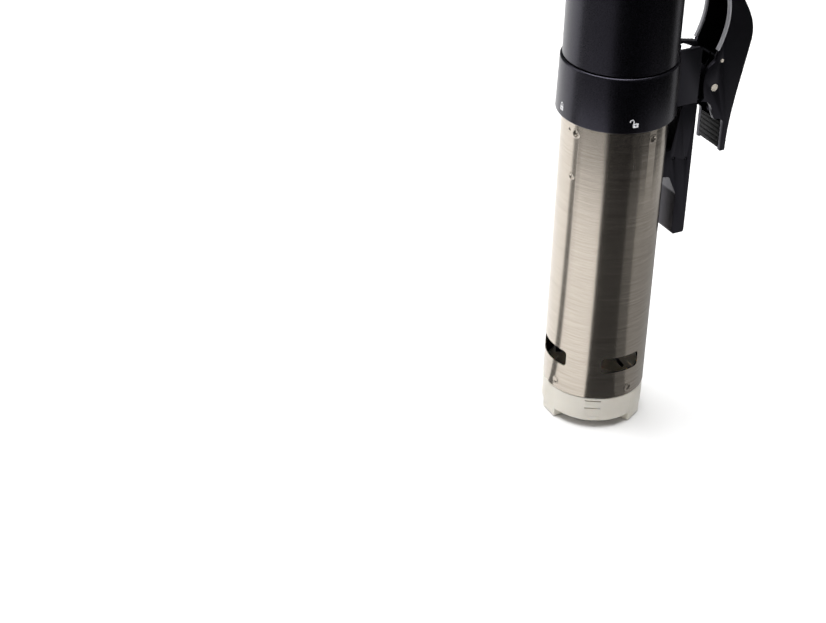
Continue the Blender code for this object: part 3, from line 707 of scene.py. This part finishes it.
def padlock(name, degrees, opened):
    """A printed padlock 4.6 mm high on the collar. Opened, its shackle stands beside the case."""
    low_x = COLLAR_TOP_R - 1
    high_x = COLLAR_R + 1
    case = soften([(-1.5, -2.2), (1.5, -2.2), (1.5, 0.2), (-1.5, 0.2)], 0.3)
    piece = sawn(name, case, low_x, high_x)
    keyhole = bar("keyhole", 0.42, 6, 20)
    cut(piece, settle(keyhole, outward(0, COLLAR_R - 3, -1.0)))
    shift = -1.95 * opened
    legs = 1.15
    wide, narrow = 1.2, 0.68
    outer = arc((shift, legs), wide, 0, 180, 16)
    inner = arc((shift, legs), narrow, 180, 0, 16)
    left_foot = 0.75 if opened else 0.0
    ends = [(shift - wide, left_foot), (shift - narrow, left_foot)]
    right = [(shift + narrow, 0.0), (shift + wide, 0.0)]
    fuse(piece, sawn(name + "_shackle", outer + ends + inner + right, low_x, high_x))
    settle(piece, spun(radians(degrees)) @ Matrix.Translation((0, 0, PADLOCK_Z * MM)))
    combine(piece, collar_cone("ink_limit", 0.04), "INTERSECT")
    dress(piece, INK, "body", "black_plastic")


def make_base_cap():
    floor, rim, hub = 6.0, 3.5, 6.5
    plug_bore, plug_r = 25.4, 26.9
    plug_top = high("base_cap", Z)
    shoulder = SLEEVE_BOTTOM - 0.3
    profile = [
        (0.0, floor),
        (plug_bore, floor),
        (plug_bore, plug_top - 0.5),
        (plug_bore + 0.5, plug_top),
        (plug_r, plug_top),
        (plug_r, shoulder),
        (CAP_R, shoulder),
        (CAP_R, rim + 1.6),
        (CAP_R - 1.6, rim),
        (hub + 0.6, rim),
        (hub, 0.0),
        (0.0, 0.0),
    ]
    cap = turned("milky_base_cap", soften(profile, 0.4, closed=False), closed=False)
    for turn in around(3, CAP_TURN):
        foot = block("foot", (CAP_R - 7, -6, 0.0), (CAP_R - 0.35, 6, 6.0))
        round_edges(foot, 0.5, also_smooth=False)
        fuse(cap, settle(foot, spun(turn)))
    for turn in around(12, CAP_TURN + radians(15)):
        outline = soften([(-1.3, 0.0), (1.3, 0.0), (1.3, 9.0), (-1.3, 9.0)], 0.4)
        slit = sawn("slit", outline, 9.5, 20)
        cut(cap, settle(slit, spun(turn)))
    for turn in around(3, CAP_TURN + radians(60)):
        pane = block("pane", (CAP_R - 0.35, -5.0, 7.2), (CAP_R + 3, 5.0, SLEEVE_BOTTOM + 1))
        cut(cap, settle(pane, spun(turn)))
        for height in (12.4, 17.2):
            low_z, high_z = height - 0.35, height + 0.35
            outline = [(-4.6, low_z), (4.6, low_z), (4.6, high_z), (-4.6, high_z)]
            slot = sawn("slot", soften(outline, 0.3), 24, 30)
            cut(cap, settle(slot, spun(turn)))
    round_edges(cap, 0.12, 2)
    dress(cap, MILKY, "base_cap", "white_plastic", "base_cap")


# ---------------------------------------------------------------- body


def make_body():
    top = high("upper_housing", Z) + 8
    profile = [
        (BODY_R, top),
        (BODY_R, BODY_BOTTOM + 0.5),
        (BODY_R - 0.5, BODY_BOTTOM),
        (BODY_BORE, BODY_BOTTOM),
        (BODY_BORE, top),
    ]
    corners = soften(profile, 0.2, steps=2)
    # Rings above and below the gland and the vents keep their cuts from shading the whole tube.
    heights = (GLAND_Z + 8, GLAND_Z - 8, VENT_HIGH + 2, VENT_LOW - 2)
    rings = [(BODY_R, height) for height in heights]
    housing = turned("body_shell", corners[:3] + rings + corners[3:])
    cut(housing, settle(block("above", (-60, -70, 0), (60, 70, 60)), panel_frame()))
    gland = bar("gland_hole", 5.3, 20)
    cut(housing, settle(gland, outward(radians(90), 20, GLAND_Z)))
    for side in (-1, 1):
        for step in range(4):
            turn = radians(90 + side * (30 + 9 * step))
            outline = [(-0.9, VENT_LOW), (0.9, VENT_LOW), (0.9, VENT_HIGH), (-0.9, VENT_HIGH)]
            vent = sawn("vent", soften(outline, 0.8), 24, 32)
            cut(housing, settle(vent, spun(turn)))
    round_edges(housing, 0.35, 3, angle=50)
    housing.modifiers.new("WeightedNormal", "WEIGHTED_NORMAL").keep_sharp = True
    apply_modifiers(housing)
    dress(housing, BLACK, "body", "black_plastic", "upper_housing")


def make_gland():
    """The cord's rubber boot, with a groove round its flange and a bell-mouthed hole."""
    profile = [
        (3.2, -9.0),
        (5.0, -9.0),
        (5.0, 0.3),
        (7.2, 0.3),
        (7.2, 1.1),
        (6.8, 1.3),
        (6.8, 1.7),
        (7.2, 1.9),
        (7.2, 2.4),
        (5.3, 3.0),
        (5.1, 3.4),
        (4.9, 5.0),
        (3.8, 5.0),
        (3.2, 4.2),
    ]
    gland = turned("cord_gland", soften(profile, 0.25, steps=3), steps=96)
    settle(gland, outward(radians(90), BODY_R, GLAND_Z))
    dress(gland, RUBBER, "body", "rubber", "cable_gland")


def on_panel(x, v, n=0.0):
    return panel_frame() @ Matrix.Translation((x * MM, v * MM, n * MM))


def make_panel():
    blank_r = BODY_BORE - 0.3
    low_z = PANEL_Z - 30
    profile = [(0, low_z + 70), (blank_r, low_z + 70), (blank_r, low_z), (0, low_z)]
    panel = turned("panel_plate", profile, closed=False)
    slab = block("slab", (-60, -70, PANEL_TOP - PANEL_THICK), (60, 70, PANEL_TOP))
    combine(panel, settle(slab, panel_frame()), "INTERSECT")
    half_x, half_v = LENS_HALF
    gap = 0.2
    near = (-half_x - gap, LENS_V - half_v - gap, PANEL_TOP - 1.5)
    far = (half_x + gap, LENS_V + half_v + gap, 5)
    cut(panel, settle(block("pocket", near, far), panel_frame()))
    for x in BUTTON_X:
        well = bar("well", 4.05, 12)
        cut(panel, settle(well, on_panel(x, BUTTON_V, -6)))
    round_edges(panel, 0.25, 3, angle=50)
    dress(panel, BLACK, "body", "black_plastic", "control_panel")

    near = (-half_x, LENS_V - half_v, PANEL_TOP - 1.2)
    far = (half_x, LENS_V + half_v, PANEL_TOP)
    lens = block("display_glass", near, far)
    round_edges(lens, 0.35, 3)
    settle(lens, panel_frame())
    dress(lens, GLASS, "body", "dark_glass", "display_lens")
    make_digits()
    for name, x in zip(("minus", "start", "plus"), BUTTON_X):
        make_button(name, x, name + "_button")


def make_digits():
    """The set temperature as plain lit figures, with a ring for degrees."""
    bpy.ops.object.select_all(action="DESELECT")
    bpy.ops.object.text_add()
    text = bpy.context.object
    text.data.body = "60.0"
    text.data.size = 11 * MM
    text.data.extrude = 0.02 * MM
    text.data.align_x = "CENTER"
    text.data.align_y = "CENTER"
    bpy.ops.object.convert(target="MESH")
    digits = bpy.context.object
    digits.name = "set_temperature"
    settle(digits, on_panel(-2.0, LENS_V, PANEL_TOP + 0.03))
    dress(digits, DIGITS, "body", "dark_glass")
    ring = turned("degree_ring", [(1.1, 0.03), (1.1, -0.03), (0.75, -0.03), (0.75, 0.03)], steps=32)
    settle(ring, on_panel(13.0, LENS_V + 2.6, PANEL_TOP + 0.03))
    dress(ring, DIGITS, "body", "dark_glass")


def make_button(name, x, body):
    """A dished key cap with its sign printed on it."""
    profile = [
        (0.0, 0.35),
        (2.2, 0.42),
        (3.3, 0.6),
        (3.8, 0.3),
        (3.8, -3.1),
        (4.9, -3.2),
        (4.9, -4.3),
        (0.0, -4.3),
    ]
    key = turned(f"{name}_key", soften(profile, 0.3, closed=False), steps=64, closed=False)
    settle(key, on_panel(x, BUTTON_V))
    dress(key, KEYS, body, "grey_plastic", body)
    signs = {
        "minus": [((-1.3, -0.22), (1.3, 0.22))],
        "plus": [((-1.3, -0.22), (1.3, 0.22)), ((-0.22, -1.3), (0.22, 1.3))],
        "start": [((-0.2, 0.2), (0.2, 1.6))],
    }
    sign = None
    for (x0, v0), (x1, v1) in signs[name]:
        stroke = block(f"{name}_sign", (x0, v0, 0.2), (x1, v1, 0.45))
        sign = fuse(sign, stroke) if sign else stroke
    if name == "start":
        ring = turned("ring", [(1.5, 0.45), (1.5, 0.2), (1.1, 0.2), (1.1, 0.45)], steps=48)
        cut(ring, block("gap", (-0.55, 0.3, 0.0), (0.55, 2.0, 1.0)))
        fuse(sign, ring)
    settle(sign, on_panel(x, BUTTON_V))
    dress(sign, INK, body, "grey_plastic")


# ---------------------------------------------------------------- clamp


def outer_edge():
    """The lever's back, from its foot up over the shoulder to where the tip starts."""
    lower = bezier((66.0, LEVER_BOTTOM), (66.0, 172), (71.2, 190), (75.0, 211), 18)
    upper = bezier((75.0, 211), (77.9, 224), (70.0, 232), (64.0, 243), 18)
    return lower + upper[1:]


def grip_edge():
    return bezier((53.8, 210.4), (61.5, 226), (59.5, 238), (52.6, 252), 20)


def make_lever():
    outer = outer_edge()
    mouth = [(OUTER_FACE, LEVER_BOTTOM), (OUTER_FACE, 166.0)]
    mouth += arc((58.9, 166.0), OUTER_FACE - 58.9, 0, 90, 8)[1:]
    mouth += [(56.4, 170.4)]
    mouth += arc((46.6, 174.3), 8.1, 0, 90, 12)
    boss = [(48.3, 184.4), (47.2, 189.0), (47.0, 196.5)]
    boss += [(49.6, 201.6), (53.6, 204.6), (54.3, 206.8)]
    boss = soften(boss, 2.2, closed=False, steps=4)
    grip = beside(grip_edge(), -TRIM - 0.05)
    tip = soften([(52.6, 252.6), (53.6, 255.6), (56.4, 256.4), (58.6, 254.2)], 1.0, closed=False)
    lever = sawn("lever", mouth + boss + grip + tip + outer[::-1], -CLAMP_HALF, CLAMP_HALF)
    inside = [p for p in beside(outer, WEB) if p[1] < 243]
    channel = [(40, LEVER_BOTTOM - 5), (inside[0][0], LEVER_BOTTOM - 5)]
    channel += inside + [(40, inside[-1][1])]
    cut(lever, sawn("channel", channel, -CHEEK_INNER, CHEEK_INNER))
    for (y, z), radius in ((PIVOT, 2.25), (SPRING_PIN, 1.1)):
        hole = bar("pin_hole", radius, 60, 40)
        cut(lever, settle(hole, along_x(-30, y, z)))
    round_edges(lever, 0.45, 3, angle=50)
    dress(lever, NYLON, "lever", "black_plastic", "clamp_lever")
    for side, node in ((1, "lever_trim_right"), (-1, "lever_trim_left")):
        edge = grip_edge()
        outline = edge + beside(edge, -TRIM)[::-1]
        ends = sorted((side * (CHEEK_INNER + 0.05), side * (CLAMP_HALF - 0.05)))
        trim = sawn(node + "_strip", outline, *ends)
        round_edges(trim, 0.35, 3, angle=50)
        dress(trim, TPE, "lever", "grey_plastic", node)
    make_pad("outer_pad", "lever", OUTER_FACE - 0.3, 1)


def along_x(x, y, z):
    """Takes a piece made up the Z axis to lie along X."""
    return Matrix.Translation((x * MM, y * MM, z * MM)) @ Matrix.Rotation(radians(90), 4, "Y")


def make_pad(node, body, face, into):
    """A rubber pad with grip ribs across its face. into is +1 where its back is towards +Y."""
    bottom, top = low(node, Z), high(node, Z)
    half = high(node, X)
    back = high(node, Y) if into > 0 else low(node, Y)
    count = int((top - bottom - 1.5) / 2.4)
    pitch = (top - bottom - 1.5) / count
    valley = face + 0.45 * into
    outline = [(back, bottom), (valley, bottom)]
    for i in range(count):
        z = bottom + 0.75 + pitch * i
        outline += [(valley, z), (face, z + 0.35)]
        outline += [(face, z + pitch - 0.95), (valley, z + pitch - 0.6)]
    outline += [(valley, top), (back, top)]
    pad = sawn(node + "_ribbed", outline, -half, half)
    round_edges(pad, 0.12, 2, angle=35)
    dress(pad, RUBBER, body, "rubber", node)


def make_pins():
    """Two turned pins, each with a shallow punch mark in its bright ends and a dark shaft."""
    end = CLAMP_HALF + 0.2
    punch = 0.12
    for node, (y, z), radius, body in (
        ("pivot_pin", PIVOT, 2.1, "body"),
        ("spring_pin", SPRING_PIN, 1.0, "lever"),
    ):
        chamfer = 0.18 * radius
        half = [
            (0.0, end - punch),
            (radius * 0.45, end - punch),
            (radius * 0.55, end),
            (radius - chamfer, end),
            (radius, end - chamfer),
        ]
        profile = half + [(r, -x) for r, x in reversed(half)]
        pin = turned(node + "_turned", profile, steps=48, closed=False)
        settle(pin, along_x(0, y, z))
        dress(pin, PIN, body, "bright_steel", node)
        second_finish(pin, SPRING, lambda middle: abs(middle.x) < (CLAMP_HALF - 0.6) * MM)


def make_bracket():
    outline = [
        (22, BRACKET_BOTTOM),
        (BRACKET_END, BRACKET_BOTTOM),
        (BRACKET_END, BRACKET_TOP - 1.5),
        (BRACKET_END - 1.5, BRACKET_TOP),
        (22, BRACKET_TOP),
    ]
    bracket = sawn("bracket", outline, -CLAMP_HALF, CLAMP_HALF)
    inside = CLAMP_HALF - 1.7
    hollow_top = BRACKET_TOP + 4
    cut(bracket, block("hollow", (-inside, 20, BRACKET_FLOOR), (inside, 46, hollow_top)))
    fuse(bracket, block("screw_boss", (-4.6, 22, BRACKET_FLOOR - 1), (4.6, 34.9, BRACKET_TOP)))
    knuckle = [(43, BRACKET_BOTTOM), (PIVOT[0], PIVOT[1] - 6.4)]
    knuckle += arc(PIVOT, 6.4, -90, 75, 16)[1:]
    knuckle += [(47.5, BRACKET_FLOOR), (43, BRACKET_FLOOR)]
    fuse(bracket, sawn("knuckle", knuckle, -CHEEK_INNER + 0.3, CHEEK_INNER - 0.3))
    finger = [(22, 208.0), (34.9, 208.0), (34.9, 213.6), (38.0, 213.9), (46.8, 210.0)]
    finger += [(47.7, 211.6), (47.3, 213.4), (39.0, 215.0), (34.0, 216.0), (22, 217.0)]
    fuse(bracket, sawn("stop_finger", soften(finger, 0.6, steps=3), -2, 2))
    room = [(48.4, 180), (70, 180), (70, 212), (48.4, 212)]
    cut(bracket, sawn("spring_room", room, -3.8, 3.8))
    hole = bar("pivot_hole", 2.25, 60, 40)
    cut(bracket, settle(hole, along_x(-30, *PIVOT)))
    collar_tool = bar("collar_space", COLLAR_R + 0.1, 70, ROUND)
    cut(bracket, settle(collar_tool, Matrix.Translation((0, 0, (COLLAR_TOP - 70) * MM))))
    body_tool = bar("body_space", BODY_R + 0.1, 70, ROUND)
    cut(bracket, settle(body_tool, Matrix.Translation((0, 0, (COLLAR_TOP - 20) * MM))))
    round_edges(bracket, 0.4, 3, angle=50)
    dress(bracket, NYLON, "body", "black_plastic", "clamp_bracket")


def make_inner_jaw():
    outline = [
        (JAW_FACE, BRACKET_BOTTOM - 0.3),
        (34.6, BRACKET_BOTTOM - 0.3),
        (30.2, 157.3),
        (22.0, 156.0),
        (22.0, 143.0),
        (31.0, 141.0),
        (36.2, 130.0),
        (36.2, JAW_BOTTOM + 1.5),
        (37.2, JAW_BOTTOM),
        (JAW_FACE - 0.6, JAW_BOTTOM),
        (JAW_FACE, JAW_BOTTOM + 0.8),
    ]
    jaw = sawn("jaw_bar", soften(outline, 0.8, steps=4), -CLAMP_HALF, CLAMP_HALF)
    space = bar("sleeve_space", SLEEVE_R + 0.25, 100, ROUND)
    cut(jaw, settle(space, Matrix.Translation((0, 0, 100 * MM))))
    for i, node in enumerate(("jaw_rivet_1", "jaw_rivet_2")):
        y = (low(node, Y) + high(node, Y)) / 2
        z = (low(node, Z) + high(node, Z)) / 2
        sink = bar("rivet_sink", 1.0, 60, 32)
        cut(jaw, settle(sink, along_x(-30, y, z)))
        end = CLAMP_HALF - 0.05
        dome = [(0.0, end), (0.6, end - 0.05), (0.85, end - 0.3)]
        profile = dome + [(radius, -x) for radius, x in reversed(dome)]
        rivet = turned(node + "_domed", profile, steps=32, closed=False)
        settle(rivet, along_x(0, y, z))
        dress(rivet, NYLON, "body", "bright_steel", node)
    round_edges(jaw, 0.45, 3, angle=50)
    dress(jaw, NYLON, "body", "black_plastic", "inner_jaw")
    make_pad("inner_pad", "body", high("inner_pad", Y), -1)


# ---------------------------------------------------------------- carried-over pieces


CARRIED = (
    (BLACK, "spigot impeller cooling_fan"),
    (MILKY, "pump_bush"),
    (STEEL, "assembly_screw_1 assembly_screw_2 assembly_screw_3"),
    (STEEL, "bracket_screw_1 bracket_screw_2 motor"),
    (WET_STEEL, "drive_shaft heater_coil pump_plate"),
    (WET_STEEL, "temperature_probe level_probe_long level_probe_short"),
    (WET_STEEL, "support_rod_1 support_rod_2 support_rod_3"),
    (SPRING, "clamp_spring"),
    (ALUMINIUM, "motor_plate heat_sink shaft_coupling"),
    (RUBBER, "sleeve_seal shaft_seal"),
    (BOARD, "control_board power_board"),
    (GLASS, "display_module"),
)


def dress_carried():
    """Gives the pieces inside, whose working shapes stay, the finishes of real ones."""
    for finish, names in CARRIED:
        for name in names.split():
            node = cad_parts[name]
            node.data.materials.clear()
            node.data.materials.append(finish)


# ---------------------------------------------------------------- studio


CAMERA_PLACE = (0.75994, -0.53749, 0.62209)
CAMERA_LENS = 84.95


def make_camera():
    """An 85 mm view from the front right, a little above the body's top."""
    data = bpy.data.cameras.new("camera")
    data.lens = CAMERA_LENS
    data.sensor_width = 36.0
    data.clip_start = 0.01
    camera = bpy.data.objects.new("camera", data)
    bpy.context.scene.collection.objects.link(camera)
    right = Vector((0.4703, 0.8821, 0.0248)).normalized()
    back = Vector((0.7463, -0.4126, 0.5224))
    back = (back - right * back.dot(right)).normalized()
    up = back.cross(right)
    turn = Matrix((right, up, back)).transposed().to_4x4()
    camera.matrix_world = Matrix.Translation(CAMERA_PLACE) @ turn
    bpy.context.scene.camera = camera


def softbox(name, place, target, size, power):
    data = bpy.data.lights.new(name, "AREA")
    data.shape = "SQUARE"
    data.size = size
    data.energy = power
    lamp = bpy.data.objects.new(name, data)
    bpy.context.scene.collection.objects.link(lamp)
    lamp.location = place
    aim = (Vector(target) - Vector(place)).to_track_quat("-Z", "Y")
    lamp.rotation_euler = aim.to_euler()
    lamp.visible_camera = False


def card(name, value, radii, degrees, height=1.0):
    """A ring sector of matt card lying round the object, which shows in its reflections only."""
    first, last = (radians(angle) for angle in degrees)
    near, far = radii
    piece = start(name)
    draw_line([(near * MM, 0, height * MM), (far * MM, 0, height * MM)])
    # The spin goes clockwise for a positive angle, so the turn is given the other way round.
    steps = max(4, int(abs(degrees[1] - degrees[0]) / 5))
    bpy.ops.mesh.spin(steps=steps, angle=first - last, center=(0, 0, 0), axis=(0, 0, 1))
    close_up()
    settle(piece, spun(first))
    made, shader = blank(f"studio card {value}")
    shader.inputs["Base Color"].default_value = grey(0.0)
    shader.inputs["Specular IOR Level"].default_value = 0.0
    shader.inputs["Emission Color"].default_value = grey(1.0)
    shader.inputs["Emission Strength"].default_value = value
    piece.data.materials.append(made)
    piece.visible_camera = False
    piece.visible_shadow = False
    piece.visible_diffuse = False
    piece.visible_transmission = False


def make_studio():
    bpy.ops.object.select_all(action="DESELECT")
    bpy.ops.mesh.primitive_plane_add(size=12, location=(0, 0, -0.0005))
    floor = bpy.context.object
    floor.name = "floor"
    made, shader = blank("pale paper sweep")
    shader.inputs["Base Color"].default_value = paint("#F2F2F2")
    shader.inputs["Roughness"].default_value = 0.9
    # Far from the object the paper rises into the white background, so it is as bright as that.
    length = {"operation": "LENGTH"}
    away = add(made, "ShaderNodeVectorMath", length, _0=place_on(made)).outputs["Value"]
    fade = add(made, "ShaderNodeMapRange", Value=away, From_Min=0.8, From_Max=1.6)
    glow = add(made, "ShaderNodeEmission", Color=grey(1.0)).outputs[0]
    paper = shader.outputs[0]
    both = add(made, "ShaderNodeMixShader", _0=fade.outputs["Result"], _1=paper, _2=glow)
    link(made, both.outputs[0], made.node_tree.nodes["Material Output"].inputs["Surface"])
    floor.data.materials.append(made)
    for i, (value, radii, degrees) in enumerate(CARDS):
        card(f"card_{i + 1}", value, radii, degrees, 1.0 + 0.2 * i)
    # The room is white to the camera and dim to everything else.
    world = bpy.data.worlds.new("studio")
    bpy.context.scene.world = world
    world.use_nodes = True
    tree = world.node_tree
    path = tree.nodes.new("ShaderNodeLightPath")
    mix = tree.nodes.new("ShaderNodeMapRange")
    mix.inputs["To Min"].default_value = ROOM_LIGHT
    mix.inputs["To Max"].default_value = 1.0
    tree.links.new(path.outputs["Is Camera Ray"], mix.inputs["Value"])
    tree.links.new(mix.outputs["Result"], tree.nodes["Background"].inputs["Strength"])
    tree.nodes["Background"].inputs["Color"].default_value = grey(1.0)
    bpy.context.scene.view_settings.view_transform = "Standard"
    for settings in SOFTBOXES:
        softbox(*settings)


ROOM_LIGHT = 0.1
# Name, place, the point it faces, the side of the square in metres and the power in watts.
SOFTBOXES = (
    ("top", (-0.2, -0.1, 2.2), (0, 0, 0), 2.0, 92),
    ("left", (-1.2, -1.4, 1.0), (0, 0, 0.2), 1.2, 10),
)
# Brightness, inner and outer radius in millimetres, first and last bearing in degrees from +X.
CARDS = (
    (0.0, (408, 3000), (-50, 85)),
    (0.45, (408, 3000), (85, 150)),
    (0.36, (414, 3000), (-122, -50)),
    (0.06, (33, 408), (-46, 8)),
    (0.16, (33, 280), (8, 30)),
    (0.36, (33, 280), (30, 150)),
    (0.26, (280, 408), (8, 30)),
    (0.6, (280, 408), (30, 150)),
    (0.2, (33, 408), (-124, -110)),
)

make_camera()
make_sleeve()
make_collar()
make_base_cap()
make_body()
make_gland()
make_panel()
make_lever()
make_pins()
make_bracket()
make_inner_jaw()
dress_carried()
make_studio()
